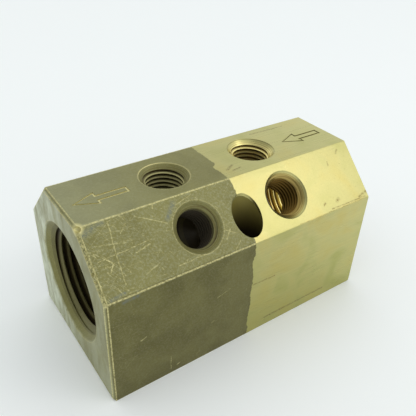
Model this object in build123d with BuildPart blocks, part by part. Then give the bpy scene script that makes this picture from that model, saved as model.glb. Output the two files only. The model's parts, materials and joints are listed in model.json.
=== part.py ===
"""Hydraulic manifold block: one brass bar with a supply half and a return half.

The bar is square in section, with its two upper long corners cut back at 45 degrees. A large
pipe-tapped bore enters each end and stops short of the middle, so that a solid web keeps supply
and return apart. Each bore is met by three smaller pipe-tapped ports: one from the flat top and
one square to each sloping face. Two plain bolt holes pass down through the middle, beside the web.

Millimetres. The origin is on the underside, below the block's centre. +X runs along the bar from
the return end to the supply end, and +Z is up.
"""

import os
from math import radians, sqrt, tan

from build123d import *

# Bar stock
block_length = 95.25
block_width = 50.8
block_height = 50.8
corner_chamfer = 14.29
end_edge_break = 0.8
long_edge_break = 0.3

# Supply and return bores, drilled for a 1 inch taper pipe thread
main_bore_diameter = 29.37
main_bore_depth = 36.5
main_mouth_diameter = 36.5
mouth_angle = 90.0
drill_point_angle = 118.0

# Side ports, drilled for a 1/4 inch taper pipe thread
port_bore_diameter = 11.11
port_mouth_diameter = 15.2
port_spacing = 31.75

# Bolt holes through the middle, each set in from the side of the bar that it runs beside
bolt_hole_diameter = 9.525
bolt_hole_inset = 5.95

# Places that follow from the sizes
half_length = block_length / 2
half_width = block_width / 2
bore_axis_height = block_height / 2
bore_axis = Axis((0, 0, bore_axis_height), (1, 0, 0))
bolt_hole_spacing = block_width - 2 * bolt_hole_inset

main_bore_radius = main_bore_diameter / 2
main_mouth_radius = main_mouth_diameter / 2
main_mouth_depth = (main_mouth_radius - main_bore_radius) / tan(radians(mouth_angle / 2))
drill_point_length = main_bore_radius / tan(radians(drill_point_angle / 2))

top_reach = block_height - bore_axis_height
slope_reach = (half_width + top_reach - corner_chamfer) / sqrt(2)


def port_planes(reach, direction):
    """Planes on a face at both port stations, facing out, square to the main bore's axis."""
    outward = Vector(*direction).normalized()
    centre = Vector(0, 0, bore_axis_height) + outward * reach
    return [
        Plane(origin=centre + Vector(station, 0, 0), x_dir=(1, 0, 0), z_dir=outward)
        for station in (-port_spacing / 2, port_spacing / 2)
    ]


with BuildPart() as manifold_block:
    # The bar: a square section with both upper corners cut back
    with BuildSketch(Plane.YZ) as section:
        Rectangle(block_width, block_height, align=(Align.CENTER, Align.MIN))
        chamfer(section.vertices().group_by(Axis.Y)[-1], length=corner_chamfer)
    extrude(amount=half_length, both=True)

    # Broken edges: wide round both sawn ends, slight along the bar
    end_faces = manifold_block.faces().filter_by(Axis.X)
    chamfer(end_faces.edges(), length=end_edge_break)
    fillet(manifold_block.edges().filter_by(Axis.X), radius=long_edge_break)

    # Supply and return bores: mouth, full bore and drill point turned about one axis
    with BuildSketch(Plane.XZ) as bore_profile:
        with BuildLine():
            Polyline(
                (half_length, bore_axis_height),
                (half_length, bore_axis_height + main_mouth_radius),
                (half_length - main_mouth_depth, bore_axis_height + main_bore_radius),
                (half_length - main_bore_depth, bore_axis_height + main_bore_radius),
                (half_length - main_bore_depth - drill_point_length, bore_axis_height),
                close=True,
            )
        make_face()
        mirror(about=Plane.YZ)
    revolve(axis=bore_axis, mode=Mode.SUBTRACT)

    # Side ports, each drilled as far as the main bore's axis
    with Locations(*port_planes(top_reach, (0, 0, 1))):
        CounterSinkHole(port_bore_diameter / 2, port_mouth_diameter / 2, top_reach, mouth_angle)
    for side in (-1, 1):
        with Locations(*port_planes(slope_reach, (0, side, 1))):
            CounterSinkHole(
                port_bore_diameter / 2, port_mouth_diameter / 2, slope_reach, mouth_angle
            )

    # Bolt holes straight down, one on each side of the web
    with Locations((0, 0, block_height)):
        with GridLocations(0, bolt_hole_spacing, 1, 2):
            Hole(bolt_hole_diameter / 2)

manifold_block.part.label = "manifold_block"

os.makedirs("parts", exist_ok=True)
export_step(manifold_block.part, "parts/manifold_block.step")
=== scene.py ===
"""The looks of a brass hydraulic manifold block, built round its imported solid.

The block is one machined piece. This script taps its ports with true helical threads, stamps a flow
arrow on the top of each half, nicks the worn edges, and gives the brass its two finishes: darkened
on the return half, bright on the supply half. Sizes are in metres, and millimetres are written as
n * MM. The brass material works in millimetres.
"""

import json
import math
import random
from types import SimpleNamespace

import bmesh
import bpy
from bpy.props import FloatProperty, FloatVectorProperty, IntProperty, PointerProperty
from mathutils import Matrix, Vector


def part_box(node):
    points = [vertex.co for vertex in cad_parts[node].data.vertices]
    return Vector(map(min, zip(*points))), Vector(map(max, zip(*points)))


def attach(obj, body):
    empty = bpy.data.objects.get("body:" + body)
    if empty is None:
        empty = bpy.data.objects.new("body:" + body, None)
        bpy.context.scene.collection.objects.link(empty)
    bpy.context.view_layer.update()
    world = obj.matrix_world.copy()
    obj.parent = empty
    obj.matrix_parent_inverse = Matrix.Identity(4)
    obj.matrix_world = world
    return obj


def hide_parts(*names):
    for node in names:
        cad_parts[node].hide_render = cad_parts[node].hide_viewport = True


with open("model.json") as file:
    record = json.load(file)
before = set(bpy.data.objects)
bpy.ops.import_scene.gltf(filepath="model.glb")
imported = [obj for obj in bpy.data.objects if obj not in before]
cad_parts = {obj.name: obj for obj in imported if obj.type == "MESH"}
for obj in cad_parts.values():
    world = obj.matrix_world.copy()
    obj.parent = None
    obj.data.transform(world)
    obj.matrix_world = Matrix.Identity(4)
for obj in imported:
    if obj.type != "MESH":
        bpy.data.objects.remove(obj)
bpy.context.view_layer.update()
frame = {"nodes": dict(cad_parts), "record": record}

bl_info = {
    "name": "Hydraulic manifold block",
    "version": (1, 0, 0),
    "blender": (4, 5, 0),
    "location": "View3D > Sidebar > Manifold",
    "description": "Threads, marks, wear and finish for a brass manifold block",
    "category": "Add Mesh",
}

MM = 0.001
INCH = 25.4 * MM
NODE = "manifold_block"
SOLID = frame["nodes"][NODE]
BLOCK_LOW, BLOCK_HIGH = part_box(NODE)
LENGTH, WIDTH, HEIGHT = BLOCK_HIGH - BLOCK_LOW
BORE_AXIS_Z = HEIGHT / 2
MOUNTS = {mount["name"]: mount for mount in frame["record"]["mounts"]}
END_PORTS = ["return_port", "supply_port"]
SIDE_PORTS = [f"{half}_{face}_port" for half in ("return", "supply") for face in ("top", "front", "back")]

# Pipe thread: what its radius loses with depth, and its groove's widths as shares of the pitch
PIPE_TAPER = 1 / 32
GROOVE_MOUTH = 0.97
GROOVE_ROOT = 0.06

# Flow arrow: its head as a share of its length, and its shaft as a share of its width
ARROW_HEAD = 0.42
ARROW_SHAFT = 0.4

# Node types used most. Their inputs are given in order: a RANGE takes its value, from min, from max,
# to min and to max, where 0 to 1 is left out, and a MIX takes its factor and the two that it mixes
MATH = "ShaderNodeMath"
VECTOR_MATH = "ShaderNodeVectorMath"
RANGE = "ShaderNodeMapRange"
MIX = "ShaderNodeMix"
NOISE = "ShaderNodeTexNoise"
GROUP = "ShaderNodeGroup"
SPLIT = "ShaderNodeSeparateXYZ"


# ---------------------------------------------------------------- sizes and colours


def length_property(name, description, size):
    """A length in metres."""
    return FloatProperty(name=name, description=description, default=size, subtype="DISTANCE", unit="LENGTH")


def place_property(name, description, place):
    """A point in metres."""
    return FloatVectorProperty(
        name=name, description=description, default=place, subtype="TRANSLATION", unit="LENGTH"
    )


def srgb(hex_colour):
    """The linear colour of an sRGB hex value such as "#C8C488"."""
    values = [int(hex_colour[i : i + 2], 16) / 255 for i in (1, 3, 5)]
    return [v / 12.92 if v <= 0.04045 else ((v + 0.055) / 1.055) ** 2.4 for v in values] + [1.0]


def colour_property(name, description, hex_colour):
    """A colour from its sRGB hex value."""
    return FloatVectorProperty(
        name=name, description=description, default=srgb(hex_colour), size=4, subtype="COLOR", min=0, max=1
    )


class PipeThread(bpy.types.PropertyGroup):
    """An internal taper pipe thread."""

    threads_per_inch: FloatProperty(
        name="Threads per inch", description="Turns of thread in an inch of depth", default=18.0, min=4.0
    )
    root_radius: length_property(
        "Root radius", "From the port's axis to the thread's root, at the face", 6.81 * MM
    )
    depth: length_property("Depth", "How far the thread runs in from the face", 13.0 * MM)
    runout_turns: FloatProperty(
        name="Run-out turns", description="Turns over which the thread fades at its inner end", default=0.2
    )
    segments: IntProperty(name="Segments", description="Steps in one turn of the thread", default=72, min=24)


class BlockSizes(bpy.types.PropertyGroup):
    """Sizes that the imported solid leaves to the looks."""

    end_thread: PointerProperty(
        type=PipeThread, name="End port thread", description="Thread of the main bores"
    )
    side_thread: PointerProperty(
        type=PipeThread, name="Side port thread", description="Thread of the six side ports"
    )
    chamfer: length_property(
        "Corner chamfer", "How far each upper corner is cut back, along either face", 14.29 * MM
    )
    end_mouth: length_property(
        "End port mouth", "Radius of an end port's countersink at the face", 18.25 * MM
    )
    side_mouth: length_property(
        "Side port mouth", "Radius of a side port's countersink at the face", 7.6 * MM
    )
    finish_border: length_property(
        "Finish border", "Where the darkened finish ends, from the middle of the block", -0.9 * MM
    )
    mark_length: length_property("Mark length", "Length of the flow arrow stamped on each half", 15.5 * MM)
    mark_width: length_property("Mark width", "Width across the flow arrow's head", 5.6 * MM)
    mark_stroke: length_property("Mark stroke", "Width of the stamped line", 0.9 * MM)
    mark_depth: length_property("Mark depth", "How deep the line is stamped", 0.16 * MM)
    mark_from_end: length_property(
        "Mark from end", "From the block's end to the near end of the arrow", 3.8 * MM
    )
    mark_offset: length_property(
        "Mark offset", "How far the arrow lies in front of the block's middle plane", 1.2 * MM
    )


class BlockColours(bpy.types.PropertyGroup):
    """Colours of the two finishes."""

    bright: colour_property("Bright brass", "Clean brass on the supply half", "#C2BC7F")
    gold: colour_property("Gold patches", "Warm patches on the supply half", "#C4AE54")
    # Dull patches, and painted shade towards the bottom of the supply half's faces
    dull_patches_and_low_shade: colour_property("Dull patches", "Greenish film on the supply half", "#A6A65A")
    fresh_cut: colour_property("Fresh cut", "Brass inside the supply ports", "#FCEC9C")
    # Port gold is painted shade: a darker gold further inside the supply ports
    port_gold_shade: colour_property("Port gold", "Brass deep inside the supply ports", "#9A7A30")
    # Port brown is painted shade in the thread grooves and on the slope ports' walls, and the colour of the
    # turning rings
    port_shade_and_rings: colour_property("Port brown", "Grooves, walls and turning rings in the ports", "#5E4820")
    stain: colour_property("Stain", "Brown marks on the supply half", "#6E5D33")
    oxide: colour_property("Oxide", "Film on the return half", "#827E4A")
    # Deep oxide: the thickest film, and painted shade on the front and back faces
    deep_oxide_and_side_shade: colour_property("Deep oxide", "Where that film is thickest", "#4E491B")
    # Pale oxide: chalky film, and a painted sheen on the end face
    pale_oxide_and_sheen: colour_property("Pale oxide", "Where that film is chalky", "#C6CCB4")
    smudge: colour_property("Smudge", "Grey smudges on that film", "#6C7674")
    hole_oxide: colour_property("Hole oxide", "Film on the bolt holes' walls", "#7E7438")
    # Port oxide: the film inside the return ports, darkened with depth, in the grooves and low in the bolt
    # holes by painted shade
    port_oxide_and_shade: colour_property("Port oxide", "Dark film inside the return ports", "#362D18")
    # Bare edge: brass rubbed bare, and painted highlights on edge borders, port mouths, the knocked corner
    # and the top port's crests
    bare_edge_and_highlight: colour_property("Bare edge", "Brass rubbed bare through the film", "#DDD498")


class StageSettings(bpy.types.PropertyGroup):
    """The floor, the lamps and the camera."""

    floor_colour: colour_property("Floor", "Colour of the floor", "#F8FAFA")
    floor_reach: length_property("Floor reach", "From the block to each side of the floor", 3.0)
    sky_colour: colour_property("Backdrop", "Colour behind the block", "#F5F9F9")
    sky_light: FloatProperty(
        name="Sky light", description="Strength of the light from all round", default=1.0, min=0
    )
    dim_side: FloatProperty(
        name="Dim side",
        description="Strength of the backdrop in mirrors on the return side",
        default=0.4,
        min=0,
    )
    lamp_place: place_property("Lamp place", "Where the soft box stands", (0.42, -0.45, 0.54))
    lamp_size: length_property("Lamp size", "Side of the soft box", 0.30)
    lamp_colour: colour_property("Lamp colour", "Colour of the soft box", "#FFF7F7")
    lamp_power: FloatProperty(
        name="Lamp power", description="Power of the soft box", default=0.53, unit="POWER"
    )
    camera_place: place_property(
        "Camera place", "Where the camera stands", (-80.3 * MM, -110.3 * MM, 124.5 * MM)
    )
    camera_aim: place_property(
        "Camera aim", "The point that the camera looks at", (7.7 * MM, 10.3 * MM, 25.4 * MM)
    )
    camera_roll: FloatProperty(
        name="Camera roll",
        description="Turn of the camera about its own axis",
        default=math.radians(2.52),
        subtype="ANGLE",
        unit="ROTATION",
    )
    camera_lens: FloatProperty(
        name="Lens", description="Focal length for a 36 mm sensor", default=44.24, unit="CAMERA"
    )


# ---------------------------------------------------------------- helpers


def fill(tree, node, inputs):
    """Fills a node's inputs, in order or by name: a node or socket is linked, any other value is set.

    Only sockets in use are counted, and a node stands for its first output in use.
    """
    sockets = [socket for socket in node.inputs if socket.enabled]
    names = {socket.name: socket for socket in reversed(sockets)}
    pairs = inputs.items() if isinstance(inputs, dict) else enumerate(inputs)
    for key, value in pairs:
        socket = sockets[key] if isinstance(key, int) else names[key]
        if isinstance(value, bpy.types.Node):
            value = next(output for output in value.outputs if output.enabled)
        if isinstance(value, bpy.types.NodeSocket):
            tree.links.new(value, socket)
        else:
            socket.default_value = value


def add_node(tree, kind, inputs=(), **settings):
    """Adds a node, sets its properties and fills its inputs."""
    node = tree.nodes.new(kind)
    for key, value in settings.items():
        setattr(node, key, value)
    fill(tree, node, inputs)
    return node


def fold(tree, values, operation):
    """A list of values brought to one by a math operation, such as the largest of several masks."""
    total = values[0]
    for value in values[1:]:
        total = add_node(tree, MATH, (total, value), operation=operation)
    return total


def new_tree(name, kind, inputs, outputs):
    """A node group with the given sockets, each a name and a type."""
    tree = bpy.data.node_groups.new(name, kind)
    for in_out, sockets in (("INPUT", inputs), ("OUTPUT", outputs)):
        for label, socket_type in sockets.items():
            tree.interface.new_socket(label, in_out=in_out, socket_type=f"NodeSocket{socket_type}")
    return tree


def mesh_piece(name, mesh):
    """An object in the scene with the given mesh."""
    piece = bpy.data.objects.new(name, mesh)
    bpy.context.scene.collection.objects.link(piece)
    return piece


def points_mesh(name, points, attribute, vectors):
    """A mesh of loose points, each with a vector as its attribute."""
    mesh = bpy.data.meshes.new(name)
    mesh.from_pydata(points, [], [])
    data = mesh.attributes.new(attribute, "FLOAT_VECTOR", "POINT").data
    for item, vector in zip(data, vectors):
        item.vector = vector
    return mesh


def plain_mesh(piece):
    """The piece's mesh as its modifiers leave it. The modifiers are removed."""
    depsgraph = bpy.context.evaluated_depsgraph_get()
    mesh = bpy.data.meshes.new_from_object(piece.evaluated_get(depsgraph))
    piece.modifiers.clear()
    return mesh


def run_tree(tree, mesh, values):
    """The plain mesh that a geometry node tree makes from an input mesh."""
    piece = mesh_piece(mesh.name, mesh)
    modifier = piece.modifiers.new(tree.name, "NODES")
    modifier.node_group = tree
    sockets = {item.name: item.identifier for item in tree.interface.items_tree if item.in_out == "INPUT"}
    for label, value in values.items():
        modifier[sockets[label]] = value
    result = plain_mesh(piece)
    bpy.data.objects.remove(piece)
    return result


def finish_cutters(tree, geometry, material):
    """Ends a cutter's tree: real geometry, in the block's material."""
    solid = add_node(tree, "GeometryNodeRealizeInstances", (geometry,))
    painted = add_node(tree, "GeometryNodeSetMaterial", {"Geometry": solid, "Material": material})
    add_node(tree, "NodeGroupOutput", (painted,))
    return tree


# ---------------------------------------------------------------- threads


def mouth_of(mount, sizes):
    """Centre of a port's mouth, on the outside of the block, and its outward axis.

    Every port's axis meets the axis of the main bores.
    """
    outward = Vector(mount["axis"]).normalized()
    if abs(outward.x) > 0.5:
        return Vector((0, 0, BORE_AXIS_Z)) + outward * (LENGTH / 2), outward
    reach = HEIGHT / 2
    if abs(outward.y) > 0.5:
        reach = (WIDTH / 2 + HEIGHT / 2 - sizes.chamfer) / math.sqrt(2)
    return Vector((mount["pos_m"][0], 0, BORE_AXIS_Z)) + outward * reach, outward


def thread_cutter_tree():
    """A geometry node tree that sweeps a V groove along a tapering helix at each port's mouth.

    Its input mesh has one point at each mouth, with the way into the block as the point's attribute
    "inward". The groove starts inside the countersink, so that it runs in from nothing as a tap's
    does, and fades out over its last turns.
    """
    inputs = {"Geometry": "Geometry", "Segments": "Int", "Material": "Material"}
    inputs |= dict.fromkeys(("Pitch", "Root Radius", "Wall Radius", "Depth", "Run-out Turns"), "Float")
    tree = new_tree("pipe thread cutter", "GeometryNodeTree", inputs, {"Geometry": "Geometry"})
    given = add_node(tree, "NodeGroupInput").outputs
    pitch, root, depth = (given[label] for label in ("Pitch", "Root Radius", "Depth"))

    # The helix runs along +Z
    turns = add_node(tree, MATH, (depth, pitch), operation="DIVIDE")
    end_radius = add_node(tree, MATH, (depth, -PIPE_TAPER, root), operation="MULTIPLY_ADD")
    helix = add_node(
        tree,
        "GeometryNodeCurveSpiral",
        {
            "Resolution": given["Segments"],
            "Rotations": turns,
            "Start Radius": root,
            "End Radius": end_radius,
            "Height": depth,
            "Reverse": True,
        },
    )

    # Near its inner end the helix closes in to the wall, so the groove fades out
    along = add_node(tree, "GeometryNodeSplineParameter").outputs["Factor"]
    fade_share = add_node(tree, MATH, (given["Run-out Turns"], turns), operation="DIVIDE")
    fade_start = add_node(tree, MATH, (1.0, fade_share), operation="SUBTRACT")
    groove = add_node(tree, MATH, (root, given["Wall Radius"]), operation="SUBTRACT")
    fade = add_node(
        tree, RANGE, (along, fade_start, 1.0, 0.0, groove), interpolation_type="SMOOTHSTEP"
    )
    place = add_node(tree, "GeometryNodeInputPosition")
    level = add_node(tree, VECTOR_MATH, (place, (1, 1, 0)), operation="MULTIPLY")
    radial = add_node(tree, VECTOR_MATH, (level,), operation="NORMALIZE")
    back_off = add_node(tree, MATH, (fade, -1.0), operation="MULTIPLY")
    pull = add_node(tree, VECTOR_MATH, {0: radial, "Scale": back_off}, operation="SCALE")
    faded = add_node(tree, "GeometryNodeSetPosition", {"Geometry": helix, "Offset": pull})
    upright = add_node(tree, "GeometryNodeSetCurveNormal", {"Curve": faded}, mode="Z_UP")

    # The groove's section has its wide side just inside the wall and its narrow root on the helix
    overlap = 0.06 * MM
    tall = add_node(tree, MATH, (groove, overlap), operation="ADD")
    section = {
        "Height": tall,
        "Bottom Width": add_node(tree, MATH, (pitch, GROOVE_MOUTH), operation="MULTIPLY"),
        "Top Width": add_node(tree, MATH, (pitch, GROOVE_ROOT), operation="MULTIPLY"),
        "Offset": 0.0,
    }
    section = add_node(tree, "GeometryNodeCurvePrimitiveQuadrilateral", section, mode="TRAPEZOID")
    half_tall = add_node(tree, MATH, (tall, -0.5), operation="MULTIPLY")
    shift = add_node(tree, "ShaderNodeCombineXYZ", (half_tall, 0.0, 0.0))
    quarter_turn = (0, 0, -math.pi / 2)
    section = add_node(
        tree, "GeometryNodeTransform", {"Geometry": section, "Translation": shift, "Rotation": quarter_turn}
    )
    swept = add_node(
        tree, "GeometryNodeCurveToMesh", {"Curve": upright, "Profile Curve": section, "Fill Caps": True}
    )

    # One cutter at each mouth, turned to run inwards
    inward = add_node(tree, "GeometryNodeInputNamedAttribute", {"Name": "inward"}, data_type="FLOAT_VECTOR")
    aim = add_node(tree, "FunctionNodeAlignRotationToVector", {"Vector": inward}, axis="Z")
    placed = add_node(
        tree,
        "GeometryNodeInstanceOnPoints",
        {"Points": given["Geometry"], "Instance": swept, "Rotation": aim},
    )
    return finish_cutters(tree, placed, given["Material"])


def thread_cutters(tree, port_names, thread, brass):
    """The thread grooves of like ports, as one plain mesh."""
    sizes = bpy.context.scene.block_sizes
    mouths = [mouth_of(MOUNTS[name], sizes) for name in port_names]
    centres = [centre for centre, _ in mouths]
    mesh = points_mesh("mouths", centres, "inward", [-outward for _, outward in mouths])
    values = {
        "Pitch": INCH / thread.threads_per_inch,
        "Root Radius": thread.root_radius,
        "Wall Radius": MOUNTS[port_names[0]]["dims"]["r_mm"] * MM,
        "Depth": thread.depth,
        "Run-out Turns": thread.runout_turns,
        "Segments": thread.segments,
        "Material": brass,
    }
    return run_tree(tree, mesh, values)


# ---------------------------------------------------------------- stamped marks and chipped edges


def stamp_tree():
    """A geometry node tree that sweeps a shallow flat-bottomed groove along the edges of its input."""
    inputs = {"Geometry": "Geometry", "Stroke": "Float", "Depth": "Float", "Material": "Material"}
    tree = new_tree("stamped line cutter", "GeometryNodeTree", inputs, {"Geometry": "Geometry"})
    given = add_node(tree, "NodeGroupInput").outputs
    path = add_node(tree, "GeometryNodeMeshToCurve", (given["Geometry"],))
    path = add_node(tree, "GeometryNodeSetCurveNormal", {"Curve": path}, mode="Z_UP")

    # Half of the section stands above the face, and its sides slope a little
    section = {
        "Height": add_node(tree, MATH, (given["Depth"], 2.0), operation="MULTIPLY"),
        "Bottom Width": add_node(tree, MATH, (given["Stroke"], 0.8), operation="MULTIPLY"),
        "Top Width": add_node(tree, MATH, (given["Stroke"], 1.2), operation="MULTIPLY"),
        "Offset": 0.0,
    }
    section = add_node(tree, "GeometryNodeCurvePrimitiveQuadrilateral", section, mode="TRAPEZOID")
    swept = add_node(tree, "GeometryNodeCurveToMesh", {"Curve": path, "Profile Curve": section})
    return finish_cutters(tree, swept, given["Material"])


def arrow_outlines(sizes):
    """A flow arrow on the top of each half, as closed loops of edges: in at the supply, out at the return."""
    back, neck = sizes.mark_length, sizes.mark_length * ARROW_HEAD
    half, thin = sizes.mark_width / 2, sizes.mark_width * ARROW_SHAFT / 2
    one_side = [(neck, half), (neck, thin), (back, thin)]
    outline = [(0.0, 0.0), *one_side, *[(x, -y) for x, y in reversed(one_side)]]
    corner = LENGTH / 2 - sizes.mark_from_end
    verts, edges = [], []
    for start in (-corner, corner - sizes.mark_length):
        first = len(verts)
        verts += [(start + x, y - sizes.mark_offset, HEIGHT) for x, y in outline]
        edges += [(first + i, first + (i + 1) % len(outline)) for i in range(len(outline))]
    mesh = bpy.data.meshes.new("arrow_outlines")
    mesh.from_pydata(verts, edges, [])
    return mesh


def chip_tree():
    """A geometry node tree that sets a rough, turned pebble at each point of its input."""
    inputs = {"Geometry": "Geometry", "Seed": "Int", "Material": "Material"}
    tree = new_tree("edge chip cutter", "GeometryNodeTree", inputs, {"Geometry": "Geometry"})
    given = add_node(tree, "NodeGroupInput").outputs
    pebble = add_node(tree, "GeometryNodeMeshIcoSphere", {"Radius": 1.0, "Subdivisions": 2})
    size = add_node(tree, "GeometryNodeInputNamedAttribute", {"Name": "size"}, data_type="FLOAT_VECTOR")
    turn = {"Min": (-0.5, -0.5, -0.5), "Max": (0.5, 0.5, 0.5), "Seed": given["Seed"]}
    turn = add_node(tree, "FunctionNodeRandomValue", turn, data_type="FLOAT_VECTOR")
    placed = add_node(
        tree,
        "GeometryNodeInstanceOnPoints",
        {"Points": given["Geometry"], "Instance": pebble, "Rotation": turn, "Scale": size},
    )
    return finish_cutters(tree, placed, given["Material"])


def chip_points(sizes):
    """Where the front slope's end edges are chipped: most at the return end, worst at its upper corner."""
    dice = random.Random(7)
    slope_length = sizes.chamfer * math.sqrt(2)
    front, shoulder = -WIDTH / 2, HEIGHT - sizes.chamfer
    sunk = 0.3 * MM
    places, radii = [], []

    # For each end: its side, the chips' spacing and the largest one's radius
    for end, spacing, biggest in ((-1, 0.9 * MM, 0.50 * MM), (1, 3.1 * MM, 0.35 * MM)):
        for i in range(1, int(slope_length / spacing)):
            up = (i + dice.uniform(-0.2, 0.2)) * spacing / math.sqrt(2)
            size = biggest * dice.uniform(0.35, 1.0) ** 2
            places.append((end * (LENGTH / 2 - sunk), front + up + sunk, shoulder + up - sunk))
            radii.append((size * 0.8, size * 1.3, size * 1.3))
    places.append((-LENGTH / 2 + sunk, front + sizes.chamfer - 0.2 * MM, HEIGHT - sunk))
    radii.append((1.3 * MM, 1.2 * MM, 0.9 * MM))
    return points_mesh("chip_points", places, "size", radii)


# ---------------------------------------------------------------- the block's mesh


def merged_solid():
    """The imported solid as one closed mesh."""
    mesh = SOLID.data.copy()
    mesh.materials.clear()
    if "custom_normal" in mesh.attributes:
        mesh.attributes.remove(mesh.attributes["custom_normal"])
    shell = bmesh.new()
    shell.from_mesh(mesh)
    bmesh.ops.remove_doubles(shell, verts=shell.verts, dist=1e-7)
    shell.to_mesh(mesh)
    shell.free()
    return mesh


def cut(piece, cutter_mesh, name):
    """Takes a closed cutter away from the piece and keeps the result as its mesh."""
    cutter = mesh_piece(name, cutter_mesh)
    modifier = piece.modifiers.new(name, "BOOLEAN")
    modifier.operation = "DIFFERENCE"
    modifier.solver = "MANIFOLD"
    modifier.object = cutter
    mesh = plain_mesh(piece)
    if len(mesh.polygons) == 0:
        raise RuntimeError(f"cutting the {name} left nothing")
    piece.data = mesh
    bpy.data.objects.remove(cutter)


def shade(mesh, chamfer):
    """Shades the outside faces flat and the bores and threads smooth, with crisp edges between."""
    touch = 0.002 * MM
    for face in mesh.polygons:
        across, up = abs(face.center.y), face.center.z
        slope = (WIDTH / 2 + HEIGHT - chamfer - across - up) / math.sqrt(2)
        inside = min(LENGTH / 2 - abs(face.center.x), WIDTH / 2 - across, HEIGHT - up, up, slope)
        face.use_smooth = inside > touch
    mesh.set_sharp_from_angle(angle=math.radians(30))


def make_block_mesh(sizes, brass):
    """The block with its threads, arrows and chips cut."""
    piece = mesh_piece("brass_block", merged_solid())
    tree = thread_cutter_tree()
    cut(piece, thread_cutters(tree, END_PORTS, sizes.end_thread, brass), "end_threads")
    cut(piece, thread_cutters(tree, SIDE_PORTS, sizes.side_thread, brass), "side_threads")
    stamp = {"Stroke": sizes.mark_stroke, "Depth": sizes.mark_depth, "Material": brass}
    cut(piece, run_tree(stamp_tree(), arrow_outlines(sizes), stamp), "stamped_arrows")
    cut(piece, run_tree(chip_tree(), chip_points(sizes), {"Seed": 4, "Material": brass}), "edge_chips")
    shade(piece.data, sizes.chamfer)
    return piece


# ---------------------------------------------------------------- brass: marks, in millimetres


def on_face(face, along, up):
    """A point on a front face of the block: along it from the return end, and up it.

    The front is measured up from the floor, the slope from its lower edge, the top from its front edge.
    """
    chamfer = bpy.context.scene.block_sizes.chamfer / MM
    x = along - LENGTH / MM / 2
    front = -WIDTH / MM / 2
    if face == "front":
        return (x, front, up)
    if face == "slope":
        return (x, front + up * SLANT, HEIGHT / MM - chamfer + up * SLANT)
    return (x, front + chamfer + up, HEIGHT / MM)


# Scratches on the darkened half: face, start, end, width
SCRATCHES = [
    ("slope", (7.0, 3.0), (7.4, 11.0), 0.30),
    ("slope", (7.4, 11.0), (8.4, 19.5), 0.30),
    ("slope", (2.5, 10.6), (17.5, 11.4), 0.26),
    ("slope", (15.5, 18.5), (23.5, 14.0), 0.24),
    ("slope", (4.5, 7.0), (6.0, 9.0), 0.34),
    ("slope", (12.5, 9.5), (17.0, 10.5), 0.34),
    ("slope", (21.0, 19.0), (21.5, 20.2), 0.40),
    ("slope", (32.0, 3.0), (36.0, 4.5), 0.30),
    ("slope", (22.0, 2.4), (31.5, 2.6), 0.24),
    ("slope", (38.4, 4.2), (40.6, 6.6), 0.34),
    ("slope", (39.0, 6.8), (41.8, 5.0), 0.30),
    ("slope", (10.5, 15.5), (12.5, 17.5), 0.28),
    ("slope", (13.0, 3.5), (19.0, 5.5), 0.22),
    ("slope", (3.0, 14.5), (11.0, 12.8), 0.20),
    ("slope", (27.5, 17.8), (33.0, 19.2), 0.22),
    ("front", (18.4, 2.0), (18.5, 7.0), 0.26),
    ("front", (9.3, 19.3), (10.8, 19.8), 0.40),
    ("front", (20.4, 2.4), (21.6, 2.8), 0.34),
    ("front", (27.6, 2.8), (28.6, 3.3), 0.30),
    ("front", (32.4, 12.8), (33.4, 13.3), 0.32),
    ("front", (34.0, 22.0), (38.5, 23.5), 0.20),
]

# Brown and dark marks on the bright half: face, start, end, width
STAINS = [
    ("slope", (81.0, 2.6), (81.8, 3.0), 1.3),
    ("slope", (83.4, 14.2), (83.7, 15.4), 0.6),
    ("slope", (75.4, 2.8), (76.2, 3.2), 0.9),
    ("slope", (90.5, 1.2), (94.6, 2.2), 0.9),
    ("slope", (78.0, 0.8), (93.0, 0.7), 0.5),
    ("slope", (64.0, 0.2), (94.0, 0.2), 0.26),
    ("slope", (88.7, 17.2), (89.6, 18.2), 0.8),
    ("top", (70.0, 19.6), (84.0, 19.4), 0.5),
    ("top", (49.0, 4.2), (52.0, 5.8), 0.9),
    ("top", (50.5, 3.0), (53.5, 3.6), 0.7),
    ("front", (47.4, 20.6), (56.0, 20.4), 0.5),
    ("front", (54.0, 3.4), (80.0, 3.6), 0.8),
]

# Grey smudges on the darkened half: face, start, end, width
SMUDGES = [
    ("slope", (1.4, 18.0), (4.2, 19.0), 2.0),
    ("slope", (5.6, 19.4), (6.8, 19.5), 1.4),
    ("slope", (2.0, 0.8), (6.0, 1.2), 1.0),
    ("slope", (24.0, 15.0), (27.0, 18.5), 1.6),
    ("front", (5.0, 35.4), (9.0, 35.5), 1.2),
]

# A mark has faded out at this share of its width from its middle
MARK_FADE = 0.75

# Depth between the turning rings in a side port's mouth
RING_SPACING = 0.45

# Width of the filed break round each end of the bar
END_BREAK = 0.8

# What a slope's square distance takes along Y and along Z
SLANT = math.sqrt(0.5)

# A face's own look fades out between these depths under it, and that of the walls of bores fades in
FACE_SKIN = (0.5, 0.2)
WALL_SKIN = (0.5, 1.0)


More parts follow.
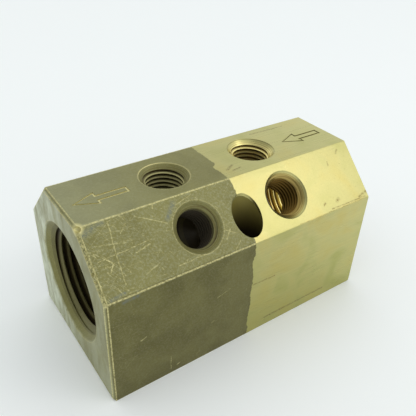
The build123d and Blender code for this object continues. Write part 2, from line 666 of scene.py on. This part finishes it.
def scratch_group():
    """A shader group: 1 on a straight mark from Start to End, fading to 0 at Reach from it."""
    inputs = {"Place": "Vector", "Start": "Vector", "End": "Vector", "Reach": "Float"}
    tree = new_tree("scratch", "ShaderNodeTree", inputs, {"Mask": "Float"})
    given = add_node(tree, "NodeGroupInput").outputs
    away = add_node(tree, VECTOR_MATH, (given["Place"], given["Start"]), operation="SUBTRACT")
    line = add_node(tree, VECTOR_MATH, (given["End"], given["Start"]), operation="SUBTRACT")
    along = add_node(tree, VECTOR_MATH, (away, line), operation="DOT_PRODUCT")
    whole = add_node(tree, VECTOR_MATH, (line, line), operation="DOT_PRODUCT")
    share = add_node(tree, MATH, (along, whole), operation="DIVIDE", use_clamp=True)
    foot = add_node(tree, VECTOR_MATH, {0: line, "Scale": share}, operation="SCALE")
    gap = add_node(tree, VECTOR_MATH, (away, foot), operation="DISTANCE")
    mask = add_node(tree, RANGE, (gap, given["Reach"], 0.0), interpolation_type="SMOOTHSTEP")
    add_node(tree, "NodeGroupOutput", (mask,))
    return tree


def marks_mask(tree, group, place, marks):
    """The largest mask of several marks."""
    masks = []
    for face, start, end, width in marks:
        mark = (place, on_face(face, *start), on_face(face, *end), width * MARK_FADE)
        masks.append(add_node(tree, GROUP, mark, node_tree=group))
    return fold(tree, masks, "MAXIMUM")


def scratch_field(tree, place):
    """Fine scratches in three directions all over the block: thin level lines of stretched noise.

    The faces are unrolled round the bar first, so that the lines lie in them.
    """
    x, y, z = add_node(tree, SPLIT, (place,)).outputs
    across = add_node(tree, MATH, (y,), operation="ABSOLUTE")
    along = add_node(tree, MATH, (y, 0.6, x), operation="MULTIPLY_ADD")
    up = add_node(tree, MATH, (z, across), operation="SUBTRACT")
    unrolled = add_node(tree, "ShaderNodeCombineXYZ", (along, up, 0.0))
    stretch = (0.035, 0.6, 1.0)
    lines = []
    for angle in (12.0, 78.0, 140.0):
        turn = {"Vector": unrolled, "Angle": math.radians(angle)}
        turned = add_node(tree, "ShaderNodeVectorRotate", turn, rotation_type="Z_AXIS")
        own_place = add_node(tree, VECTOR_MATH, (turned, stretch, (angle, 0, 0)), operation="MULTIPLY_ADD")
        noise = {"Vector": own_place, "Scale": 1.0, "Detail": 0.0}
        noise = add_node(tree, NOISE, noise, noise_dimensions="2D")
        off_level = add_node(tree, MATH, (noise, 0.56), operation="SUBTRACT")
        off_level = add_node(tree, MATH, (off_level,), operation="ABSOLUTE")
        lines.append(add_node(tree, RANGE, (off_level, 0.010, 0.001), interpolation_type="SMOOTHSTEP"))
    return fold(tree, lines, "MAXIMUM")


# ---------------------------------------------------------------- brass: where on the block


def depths_group(sizes):
    """A shader group: how deep a point lies under each outside face, in millimetres.

    It also gives the place in millimetres, how far off the nearest long edge and end edge are, and as
    Inside the depth under the nearest face.
    """
    faces = ["End", "Side", "Top", "Bottom", "Slope"]
    outputs = {"Place": "Vector"} | dict.fromkeys([*faces, "Long Edge", "End Edge", "Inside"], "Float")
    tree = new_tree("block depths", "ShaderNodeTree", {}, outputs)
    metres = add_node(tree, "ShaderNodeTexCoord").outputs["Object"]
    place = add_node(tree, VECTOR_MATH, {0: metres, "Scale": 1 / MM}, operation="SCALE")
    folded = add_node(tree, VECTOR_MATH, (place,), operation="ABSOLUTE")
    x, y, z = add_node(tree, SPLIT, (folded,)).outputs
    corner = add_node(tree, MATH, (y, z), operation="ADD")
    reach = (WIDTH / 2 + HEIGHT - sizes.chamfer) / MM
    depth = {
        "End": add_node(tree, MATH, (LENGTH / 2 / MM, x), operation="SUBTRACT"),
        "Side": add_node(tree, MATH, (WIDTH / 2 / MM, y), operation="SUBTRACT"),
        "Top": add_node(tree, MATH, (HEIGHT / MM, z), operation="SUBTRACT"),
        "Bottom": z,
        "Slope": add_node(tree, MATH, (corner, -SLANT, reach * SLANT), operation="MULTIPLY_ADD"),
    }
    edges = {
        "Long Edge": [("Top", "Slope"), ("Slope", "Side"), ("Side", "Bottom")],
        "End Edge": [("End", face) for face in faces[1:]],
    }
    for label, pairs in edges.items():
        away = [
            add_node(tree, MATH, (depth[one], depth[other]), operation="MAXIMUM") for one, other in pairs
        ]
        depth[label] = fold(tree, away, "MINIMUM")
    depth["Inside"] = fold(tree, [depth[face] for face in faces], "MINIMUM")
    add_node(tree, "NodeGroupOutput", {"Place": place, **depth})
    return tree


def port_group():
    """A shader group: depth in a port's thread grooves, in millimetres, and a line round its mouth, worn and
    with a painted highlight.

    Across 1 and 2 are the place across the port's axis, and Depth is the depth below its face. Within
    is 1 as far out as the roots of the grooves.
    """
    inputs = dict.fromkeys(("Across 1", "Across 2", "Depth", "Wall", "Mouth", "Root"), "Float")
    outputs = dict.fromkeys(("Groove", "Rim", "Within"), "Float")
    tree = new_tree("port wear", "ShaderNodeTree", inputs, outputs)
    given = add_node(tree, "NodeGroupInput").outputs
    across_1, across_2, depth, wall, mouth, root = (given[label] for label in inputs)
    across = add_node(tree, "ShaderNodeCombineXYZ", (across_1, across_2, 0.0))
    radius = add_node(tree, VECTOR_MATH, (across,), operation="LENGTH")
    cone = add_node(tree, MATH, (mouth, depth), operation="SUBTRACT")
    plain = add_node(tree, MATH, (wall, cone), operation="MAXIMUM")
    behind = add_node(tree, MATH, (radius, plain), operation="SUBTRACT")
    reach = add_node(tree, MATH, (root, 0.2), operation="ADD")
    within = add_node(tree, MATH, (radius, reach), operation="LESS_THAN")
    groove = add_node(tree, MATH, (behind, within), operation="MULTIPLY")
    off_rim = add_node(tree, MATH, (radius, mouth), operation="SUBTRACT")
    off_rim = add_node(tree, MATH, (off_rim,), operation="ABSOLUTE")
    off_rim = add_node(tree, MATH, (off_rim, depth), operation="MAXIMUM")
    rim_wear_and_glint = add_node(tree, RANGE, (off_rim, 0.28, 0.08))
    add_node(tree, "NodeGroupOutput", (groove, rim_wear_and_glint, within))
    return tree


def port_wear(tree, depth, sizes):
    """Masks of the ports: depth in their grooves, mouth lines of wear and painted highlight, turning rings,
    and each kind's inside.
    """
    x, y, z = add_node(tree, SPLIT, (depth["Place"],)).outputs
    station = abs(MOUNTS["supply_top_port"]["pos_m"][0]) / MM
    along = add_node(tree, MATH, (x,), operation="ABSOLUTE")
    along = add_node(tree, MATH, (along, station), operation="SUBTRACT")
    folded = add_node(tree, MATH, (y,), operation="ABSOLUTE")
    rise = add_node(tree, MATH, (z, BORE_AXIS_Z / MM), operation="SUBTRACT")
    tilted = add_node(tree, MATH, (folded, rise), operation="SUBTRACT")
    tilted = add_node(tree, MATH, (tilted, SLANT), operation="MULTIPLY")
    side_wall = MOUNTS[SIDE_PORTS[0]]["dims"]["r_mm"]
    side_mouth = sizes.side_mouth / MM
    side_port = (side_wall, side_mouth, sizes.side_thread.root_radius / MM)
    end_port = (MOUNTS[END_PORTS[0]]["dims"]["r_mm"], sizes.end_mouth / MM, sizes.end_thread.root_radius / MM)
    ports = {"End": (y, rise, *end_port), "Top": (along, y, *side_port), "Slope": (along, tilted, *side_port)}
    group = port_group()
    wear = {}
    for face, (across_1, across_2, *radii) in ports.items():
        port = (across_1, across_2, depth[face], *radii)
        wear[face] = add_node(tree, GROUP, port, node_tree=group).outputs
    groove = fold(tree, [port["Groove"] for port in wear.values()], "MAXIMUM")
    rim_wear_and_glint = fold(tree, [port["Rim"] for port in wear.values()], "MAXIMUM")
    within = {face: port["Within"] for face, port in wear.items()}

    # A side port's mouth shows the turning rings of its countersink
    rings = []
    for face in ("Top", "Slope"):
        turns = add_node(tree, MATH, (depth[face], 2 * math.pi / RING_SPACING), operation="MULTIPLY")
        turns = add_node(tree, MATH, (turns,), operation="SINE", use_clamp=True)
        in_mouth = add_node(tree, MATH, (depth[face], side_mouth - side_wall), operation="LESS_THAN")
        rings.append(fold(tree, [turns, in_mouth, within[face]], "MULTIPLY"))
    return groove, rim_wear_and_glint, fold(tree, rings, "MAXIMUM"), within


def film_border(tree, depth, sizes):
    """1 on the darkened half and 0 on the bright half, with the film's uneven border between them."""
    x, y, _ = add_node(tree, SPLIT, (depth["Place"],)).outputs
    wobble = add_node(tree, NOISE, {"Vector": depth["Place"], "Scale": 0.16, "Detail": 2.5})
    ragged = add_node(tree, NOISE, {"Vector": depth["Place"], "Scale": 1.1, "Detail": 2.0})
    shifts = [
        add_node(tree, RANGE, (wobble, 0.3, 0.7, -0.6, 0.6)),
        add_node(tree, RANGE, (ragged, 0.3, 0.7, -0.18, 0.18)),
        # From just in front of the bar's middle plane backwards it reaches further along
        add_node(tree, RANGE, (y, -3.5, -2.0, 0.0, 1.5), interpolation_type="SMOOTHSTEP"),
        # It covers the walls of the bolt holes
        add_node(tree, RANGE, (depth["Inside"], *WALL_SKIN, 0.0, 8.0)),
    ]
    ahead = add_node(tree, MATH, (x, fold(tree, shifts, "ADD")), operation="SUBTRACT")
    edge, blur = sizes.finish_border / MM, 0.12
    return add_node(tree, RANGE, (ahead, edge - blur, edge + blur, 1.0, 0.0), interpolation_type="SMOOTHSTEP")


def stamped_mask(tree, depth, sizes):
    """1 in the stamped lines, which lie just under the top and clear of its edges and ports."""
    floor = sizes.mark_depth / MM + 0.02
    masks = [
        add_node(tree, RANGE, (depth["Top"], 0.01, 0.05)),
        add_node(tree, MATH, (depth["Top"], floor), operation="LESS_THAN"),
        add_node(tree, MATH, (depth["Slope"], 1.5), operation="GREATER_THAN"),
        add_node(tree, MATH, (depth["End"], 1.5), operation="GREATER_THAN"),
    ]
    return fold(tree, masks, "MULTIPLY")


def brass_surface(tree, sizes):
    """What the brass's colour and shine follow: depths, noises, marks, and masks of ports and stamps."""
    depth = add_node(tree, GROUP, node_tree=depths_group(sizes)).outputs
    place = depth["Place"]
    on_slope = add_node(tree, RANGE, (depth["Slope"], *FACE_SKIN))

    # Listed scratches waver a little
    half = (0.5, 0.5, 0.5)
    waver = add_node(tree, NOISE, {"Vector": place, "Scale": 0.5, "Detail": 1.0}).outputs["Color"]
    waver = add_node(tree, VECTOR_MATH, (waver, half), operation="SUBTRACT")
    wavering = add_node(tree, VECTOR_MATH, (waver, half, place), operation="MULTIPLY_ADD")
    mark_group = scratch_group()
    scratches, stains, smudges = (
        marks_mask(tree, mark_group, wavering, marks) for marks in (SCRATCHES, STAINS, SMUDGES)
    )

    # Fine ones lie all over, most on the slopes and towards the ends
    handled = [
        scratch_field(tree, wavering),
        add_node(tree, RANGE, (on_slope, 0.0, 1.0, 0.10, 0.55)),
        add_node(tree, RANGE, (depth["End"], 14.0, 1.0, 1.0, 2.2)),
    ]
    handled = fold(tree, handled, "MULTIPLY")
    scratches = add_node(tree, MATH, (scratches, handled), operation="MAXIMUM")

    # Grain of the drawn bar, along X; drawn 0.35 mm wide so that it shows
    stretched = add_node(tree, VECTOR_MATH, (place, (0.06, 2.8, 2.8)), operation="MULTIPLY")
    grain = add_node(tree, NOISE, {"Vector": stretched, "Scale": 1.0, "Detail": 3.0})
    speckle = {"Vector": place, "Scale": 1.7, "Detail": 4.0, "Roughness": 0.7}
    speckle = add_node(tree, NOISE, speckle)
    blotch = {"Vector": place, "Scale": 0.09, "Detail": 3.0, "Roughness": 0.5, "Distortion": 0.5}
    upright = add_node(tree, VECTOR_MATH, (place, (0.3, 0.3, 0.1)), operation="MULTIPLY")
    streaks = {"Vector": upright, "Scale": 1.0, "Detail": 5.0, "Roughness": 0.65}

    # The slopes were milled and tumbled, so they are mottled where the bar's own faces are streaked
    tumbled = add_node(tree, MATH, (on_slope, 0.8), operation="MULTIPLY")
    groove, rim_wear_and_glint, rings, within = port_wear(tree, depth, sizes)
    return SimpleNamespace(
        depth=depth,
        on_slope=on_slope,
        scratches=scratches,
        stains=stains,
        smudges=smudges,
        grain=add_node(tree, MIX, (tumbled, grain, speckle), data_type="FLOAT"),
        speckle=speckle,
        blotch=add_node(tree, NOISE, blotch),
        streaks=add_node(tree, NOISE, streaks),
        groove=groove,
        rim_wear_and_glint=rim_wear_and_glint,
        rings=rings,
        within=within,
        stamped=stamped_mask(tree, depth, sizes),
    )


# ---------------------------------------------------------------- brass: colour and shine


def layered(tree, colour, layers):
    """A colour with others laid over it in turn, each through its mask."""
    for mask, over in layers:
        colour = add_node(tree, MIX, (mask, colour, over), data_type="RGBA")
    return colour


def bright_half(tree, skin, colours):
    """Colour of the clean half: streaked along the bar, gold in places on the sides, duller towards the
    bottom with painted shade, and golden in the ports, darkened further in by painted shade.
    """
    depth = skin.depth
    on_side = add_node(tree, RANGE, (depth["Side"], *FACE_SKIN, 0.35, 0.6))
    gold = add_node(tree, RANGE, (skin.blotch, 0.46, 0.76))
    gold = add_node(tree, MATH, (gold, on_side), operation="MULTIPLY")
    # Painted shade: duller and darker towards the bottom
    low_painted_shade = add_node(tree, RANGE, (depth["Bottom"], 30.0, 0.0, 0.0, 0.55))
    dull_patches_and_low_shade = add_node(tree, RANGE, (skin.blotch, 0.52, 0.26))
    dull_patches_and_low_shade = add_node(tree, MATH, (dull_patches_and_low_shade, on_side, low_painted_shade), operation="MULTIPLY_ADD")
    colour = layered(tree, colours.bright, [(gold, colours.gold), (dull_patches_and_low_shade, colours.dull_patches_and_low_shade)])

    # Streaked by the grain, and lighter towards the supply end
    streak = add_node(tree, RANGE, (skin.grain, 0.3, 0.7, 0.92, 1.05))
    clear = add_node(tree, RANGE, (depth["End"], 44.0, 4.0, 0.92, 1.06))
    streak = add_node(tree, MATH, (streak, clear), operation="MULTIPLY")
    colour = add_node(tree, VECTOR_MATH, {0: colour, "Scale": streak}, operation="SCALE")
    spotted = add_node(tree, RANGE, (skin.speckle, 0.36, 0.58, 0.0, 0.8))
    stained = add_node(tree, MATH, (skin.stains, spotted), operation="MULTIPLY")
    stained = add_node(tree, MATH, (skin.stamped, 0.5, stained), operation="MULTIPLY_ADD")

    # Fresh in the ports' mouths; further in, and from the slope ports' mouths, painted shade turns it a
    # darker gold
    cut_face = add_node(tree, RANGE, (depth["Inside"], 0.2, 1.6))
    slope_port_shade = add_node(tree, RANGE, (depth["Slope"], 0.0, 3.5, 0.35, 1.0))
    slope_port_shade = add_node(tree, MATH, (slope_port_shade, skin.within["Slope"]), operation="MULTIPLY")
    deeper = add_node(tree, RANGE, (depth["Inside"], 4.0, 11.0))
    deeper = add_node(tree, MATH, (deeper, slope_port_shade), operation="MAXIMUM")

    # Painted shade in brown: in the grooves, and on the slope ports' own walls as far as the main bore behind
    # them
    wall = [
        add_node(tree, RANGE, (depth["Slope"], 0.8, 2.8, 0.0, 0.8)),
        add_node(tree, RANGE, (depth["Slope"], 11.5, 10.0)),
        skin.within["Slope"],
    ]
    groove_and_wall_shade = add_node(tree, RANGE, (skin.groove, 0.15, 0.9, 0.0, 0.85))
    groove_and_wall_shade = add_node(tree, MATH, (groove_and_wall_shade, fold(tree, wall, "MULTIPLY")), operation="MAXIMUM")
    layers = [
        (stained, colours.stain),
        (cut_face, colours.fresh_cut),
        (deeper, colours.port_gold_shade),
        (groove_and_wall_shade, colours.port_shade_and_rings),
    ]
    return layered(tree, colour, layers)


def wear_and_glint_mask(tree, skin):
    """Where the film is rubbed through, with painted highlights: thin lines on the edges and on both borders
    of the end's filed break, mouths of ports, scratches, stamps, the knocked corner, and the top port's
    crests.
    """
    depth = skin.depth

    # Painted highlights on both borders of the filed break round the end, and here and there all of it rubbed
    # bare
    break_border_glints = add_node(tree, MATH, (depth["End Edge"], END_BREAK), operation="SUBTRACT")
    break_border_glints = add_node(tree, MATH, (break_border_glints,), operation="ABSOLUTE")
    whole = [
        add_node(tree, RANGE, (depth["End Edge"], 0.9, 0.6)),
        add_node(tree, RANGE, (skin.speckle, 0.48, 0.56, 0.0, 1.1)),
        add_node(tree, RANGE, (depth["Slope"], 1.4, 0.6)),
    ]
    edges = [
        add_node(tree, RANGE, (depth["Long Edge"], 0.26, 0.10)),
        add_node(tree, RANGE, (break_border_glints, 0.24, 0.08)),
        fold(tree, whole, "MULTIPLY"),
        add_node(tree, MATH, (skin.rim_wear_and_glint, 0.4), operation="MULTIPLY"),
    ]
    thin = add_node(tree, RANGE, (skin.speckle, 0.38, 0.58, 0.2, 0.85))
    edges = add_node(tree, MATH, (fold(tree, edges, "MAXIMUM"), thin), operation="MULTIPLY")

    # The return end's upper front corner is knocked bare, with a painted highlight, and the top port's thread
    # crests get a painted highlight
    away = add_node(tree, VECTOR_MATH, (depth["Place"], on_face("top", 0, 0)), operation="DISTANCE")
    crest_highlight = [
        add_node(tree, RANGE, (skin.groove, 0.5, 0.1, 0.0, 0.75)),
        add_node(tree, RANGE, (depth["Top"], 1.8, 2.3)),
        skin.within["Top"],
    ]
    bare = [add_node(tree, RANGE, (away, 2.6, 1.5)), skin.stamped, fold(tree, crest_highlight, "MULTIPLY")]
    bare = add_node(tree, MATH, (fold(tree, bare, "MAXIMUM"), 0.85), operation="MULTIPLY")
    faint = add_node(tree, RANGE, (skin.speckle, 0.40, 0.62, 0.15, 0.75))
    scratched = add_node(tree, MATH, (skin.scratches, faint), operation="MULTIPLY")
    return fold(tree, [bare, edges, scratched], "MAXIMUM")


def darkened_half(tree, skin, worn, colours):
    """Colour of the oxide film: brown-green, darker on the front and back with painted shade, chalky with a
    painted sheen on the end, and dark in the ports with painted shade that grows with depth.
    """
    depth, within = skin.depth, skin.within
    # Painted shade: the front and back faces take more of the deep film's dark colour
    side = add_node(tree, RANGE, (depth["Side"], *FACE_SKIN, 0.0, 0.6))
    deep = add_node(tree, RANGE, (skin.blotch, 0.40, 0.62, 0.0, 0.22))
    deep = add_node(tree, MATH, (deep, side), operation="ADD")
    smudge = add_node(tree, RANGE, (skin.speckle, 0.62, 0.40, 0.0, 0.7))
    smudge = add_node(tree, MATH, (smudge, skin.smudges), operation="MULTIPLY")

    # Chalk: faint specks, a rubbed top, and upright smears on the end with a painted sheen, growing towards
    # the back
    y = add_node(tree, SPLIT, (depth["Place"],)).outputs["Y"]
    specks = [
        add_node(tree, RANGE, (skin.speckle, 0.44, 0.66, 0.0, 0.12)),
        add_node(tree, RANGE, (skin.on_slope, 0.0, 1.0, 0.55, 1.5)),
    ]
    rubbed = [
        add_node(tree, RANGE, (depth["End"], 30.0, 2.0, 0.0, 0.16)),
        add_node(tree, RANGE, (depth["Top"], 0.3, 0.1)),
    ]
    end_smears_and_sheen = [
        add_node(tree, RANGE, (y, -6.0, 20.0, 0.3, 1.1)),
        add_node(tree, RANGE, (skin.streaks, 0.38, 0.62, 0.2, 1.0)),
        add_node(tree, RANGE, (depth["End"], *FACE_SKIN)),
    ]
    chalk_and_sheen = fold(tree, [fold(tree, masks, "MULTIPLY") for masks in (specks, rubbed, end_smears_and_sheen)], "ADD")

    # The bolt holes lie in the middle of the bar, and everything else inside is a port
    middle = add_node(tree, RANGE, (depth["End"], 41.0, 42.0))
    in_hole = add_node(tree, RANGE, (depth["Inside"], *WALL_SKIN))
    in_hole = add_node(tree, MATH, (in_hole, middle), operation="MULTIPLY")
    clear_of_middle = add_node(tree, MATH, (1.0, middle), operation="SUBTRACT")
    port_depth_shade = add_node(tree, RANGE, (depth["Inside"], 3.5, 9.0))
    port_depth_shade = add_node(tree, MATH, (port_depth_shade, clear_of_middle), operation="MULTIPLY")
    # The top port's crests keep their painted highlight out of the dark
    on_crest = add_node(tree, MATH, (within["Top"], worn), operation="MULTIPLY")

    # Dark film with painted shade: in the ports, growing with depth, in their grooves, and low in the bolt
    # holes
    low_painted_shade = add_node(tree, RANGE, (depth["Top"], 6.0, 17.0))
    slope_port_shade = add_node(tree, RANGE, (depth["Slope"], 1.4, 4.0))
    end_port_shade = add_node(tree, RANGE, (depth["End"], 0.3, 8.0, 0.18, 0.85))
    dark = [
        add_node(tree, MATH, (port_depth_shade, on_crest), operation="SUBTRACT"),
        add_node(tree, MATH, (in_hole, low_painted_shade), operation="MULTIPLY"),
        add_node(tree, MATH, (slope_port_shade, within["Slope"]), operation="MULTIPLY"),
        add_node(tree, MATH, (end_port_shade, within["End"]), operation="MULTIPLY"),
        add_node(tree, RANGE, (skin.groove, 0.2, 0.8)),
    ]
    layers = [
        (deep, colours.deep_oxide_and_side_shade),
        (smudge, colours.smudge),
        (chalk_and_sheen, colours.pale_oxide_and_sheen),
        # Bare brass, and the painted highlights that share its mask
        (worn, colours.bare_edge_and_highlight),
        (in_hole, colours.hole_oxide),
        (fold(tree, dark, "MAXIMUM"), colours.port_oxide_and_shade),
    ]
    return layered(tree, colours.oxide, layers)


def machined_brass(sizes, colours):
    """Drawn and milled free-cutting brass, half of it darkened by an oxide film.

    Clean brass is a pale yellow metal that mirrors the studio softly along the fine grain of the drawn
    bar. The film is brown-green and nearly matt, and is worn back to metal on edges and scratches.
    """
    material = bpy.data.materials.new("machined_brass")
    material.use_nodes = True
    tree = material.node_tree
    skin = brass_surface(tree, sizes)
    film = film_border(tree, skin.depth, sizes)
    # Rubbed-through film and painted highlights, in one mask
    worn = wear_and_glint_mask(tree, skin)
    clean = bright_half(tree, skin, colours)
    dark = darkened_half(tree, skin, worn, colours)
    ringed = add_node(tree, MATH, (skin.rings, 0.45), operation="MULTIPLY")
    colour = layered(tree, clean, [(film, dark), (ringed, colours.port_shade_and_rings)])

    # The film hides three quarters of the metal; where it is worn through the metal is back
    worn_metal = add_node(tree, RANGE, (worn, 0.0, 1.0, 0.25, 0.85))
    inside = add_node(tree, RANGE, (skin.depth["Inside"], 0.6, 1.6))
    clean_metal = add_node(tree, RANGE, (inside, 0.0, 1.0, 1.0, 0.85))
    metal = add_node(tree, MIX, (film, clean_metal, worn_metal), data_type="FLOAT")
    satin = add_node(tree, RANGE, (skin.grain, 0.3, 0.7, 0.26, 0.38))
    satin = add_node(tree, MIX, (inside, satin, 0.3), data_type="FLOAT")
    rough = add_node(tree, MIX, (film, satin, 0.46), data_type="FLOAT")

    # Fine relief: the bar's grain and the film's tooth, some hundredths of a millimetre
    rugged = add_node(tree, RANGE, (skin.on_slope, 0.0, 1.0, 0.15, 0.8))
    relief = add_node(tree, MATH, (skin.speckle, rugged, skin.grain), operation="MULTIPLY_ADD")
    scored = add_node(tree, MATH, (worn, film), operation="MULTIPLY")
    relief = add_node(tree, MATH, (scored, -0.5, relief), operation="MULTIPLY_ADD")
    bump = add_node(tree, "ShaderNodeBump", {"Strength": 1.0, "Distance": 0.02 * MM, "Height": relief})
    shader = tree.nodes["Principled BSDF"]
    fill(tree, shader, {"Base Color": colour, "Metallic": metal, "Roughness": rough, "Normal": bump})

    # Dry film shines less than a clean surface would; on bare metal this has no effect
    shader.inputs["Specular IOR Level"].default_value = 0.3
    return material


class MANIFOLD_OT_block(bpy.types.Operator):
    """Make the tapped, stamped and worn brass block"""

    bl_idname = "manifold.block"
    bl_label = "Brass block"

    def execute(self, context):
        sizes = context.scene.block_sizes
        brass = machined_brass(sizes, context.scene.block_colours)
        piece = make_block_mesh(sizes, brass)
        piece.data.materials.clear()
        piece.data.materials.append(brass)
        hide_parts(NODE)
        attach(piece, "root")
        return {"FINISHED"}


# ---------------------------------------------------------------- stage


def make_floor(settings):
    """A plain pale floor under the block."""
    reach = settings.floor_reach
    corners = [(-reach, -reach, 0), (reach, -reach, 0), (reach, reach, 0), (-reach, reach, 0)]
    mesh = bpy.data.meshes.new("floor")
    mesh.from_pydata(corners, [], [(0, 1, 2, 3)])
    floor = mesh_piece("floor", mesh)
    material = bpy.data.materials.new("floor")
    material.use_nodes = True
    shader = material.node_tree.nodes["Principled BSDF"]
    shader.inputs["Base Color"].default_value = settings.floor_colour
    shader.inputs["Roughness"].default_value = 0.6
    mesh.materials.append(material)


def studio_light(tree, settings):
    """Soft white light all round. Mirrors see the pale backdrop, dimmer on the return side."""
    path = add_node(tree, "ShaderNodeLightPath").outputs
    direction = add_node(tree, "ShaderNodeTexCoord").outputs["Generated"]
    x = add_node(tree, SPLIT, (direction,)).outputs["X"]
    mirrored = add_node(
        tree, RANGE, (x, -0.6, 0.1, settings.dim_side, 1.0), interpolation_type="SMOOTHSTEP"
    )
    strength = (path["Is Glossy Ray"], settings.sky_light, mirrored)
    strength = add_node(tree, MIX, strength, data_type="FLOAT")
    strength = add_node(tree, MIX, (path["Is Camera Ray"], strength, 1.0), data_type="FLOAT")
    fill(tree, tree.nodes["Background"], {"Color": settings.sky_colour, "Strength": strength})


def soft_box(settings):
    """A large square lamp over the front right, aimed at the middle of the block."""
    lamp = bpy.data.lights.new("soft_box", "AREA")
    lamp.size = settings.lamp_size
    lamp.energy = settings.lamp_power
    lamp.color = settings.lamp_colour[:3]
    holder = bpy.data.objects.new("soft_box", lamp)
    bpy.context.scene.collection.objects.link(holder)
    place = Vector(settings.lamp_place)
    aim = (Vector((0, 0, BORE_AXIS_Z)) - place).to_track_quat("-Z", "Y")
    holder.matrix_world = Matrix.Translation(place) @ aim.to_matrix().to_4x4()


def make_camera(settings):
    """The camera, aimed and rolled, as the scene's own."""
    data = bpy.data.cameras.new("camera")
    data.lens = settings.camera_lens
    data.clip_start = 0.005
    camera = bpy.data.objects.new("camera", data)
    bpy.context.scene.collection.objects.link(camera)
    place, aim = Vector(settings.camera_place), Vector(settings.camera_aim)
    turn = (aim - place).to_track_quat("-Z", "Y").to_matrix().to_4x4()
    camera.matrix_world = Matrix.Translation(place) @ turn @ Matrix.Rotation(settings.camera_roll, 4, "Z")
    bpy.context.scene.camera = camera


class MANIFOLD_OT_stage(bpy.types.Operator):
    """Make the floor, the lamps and the camera"""

    bl_idname = "manifold.stage"
    bl_label = "Stage"

    def execute(self, context):
        settings = context.scene.stage_settings
        make_floor(settings)
        world = bpy.data.worlds.new("studio")
        context.scene.world = world
        world.use_nodes = True
        studio_light(world.node_tree, settings)
        soft_box(settings)
        make_camera(settings)
        context.scene.view_settings.view_transform = "Standard"
        return {"FINISHED"}


class MANIFOLD_PT_panel(bpy.types.Panel):
    """Lists the block's operators"""

    bl_label = "Manifold block"
    bl_idname = "MANIFOLD_PT_panel"
    bl_space_type = "VIEW_3D"
    bl_region_type = "UI"
    bl_category = "Manifold"

    def draw(self, context):
        for operator in OPERATORS:
            self.layout.operator(operator.bl_idname)


OPERATORS = (MANIFOLD_OT_block, MANIFOLD_OT_stage)
CLASSES = (PipeThread, BlockSizes, BlockColours, StageSettings, *OPERATORS, MANIFOLD_PT_panel)


def register():
    """Registers the classes and hangs their settings on the scene."""
    for cls in CLASSES:
        bpy.utils.register_class(cls)
    bpy.types.Scene.block_sizes = PointerProperty(type=BlockSizes)
    bpy.types.Scene.block_colours = PointerProperty(type=BlockColours)
    bpy.types.Scene.stage_settings = PointerProperty(type=StageSettings)


def unregister():
    """Takes back what register does."""
    del bpy.types.Scene.block_sizes
    del bpy.types.Scene.block_colours
    del bpy.types.Scene.stage_settings
    for cls in reversed(CLASSES):
        bpy.utils.unregister_class(cls)


def set_end_thread(thread):
    """The end ports' larger thread: 1 inch, 11.5 turns per inch."""
    thread.threads_per_inch = 11.5
    thread.root_radius = 16.49 * MM
    thread.depth = 22.0 * MM
    thread.runout_turns = 2.5
    thread.segments = 120


def main():
    register()
    set_end_thread(bpy.context.scene.block_sizes.end_thread)
    bpy.ops.manifold.block()
    bpy.ops.manifold.stage()


if __name__ == "__main__":
    main()
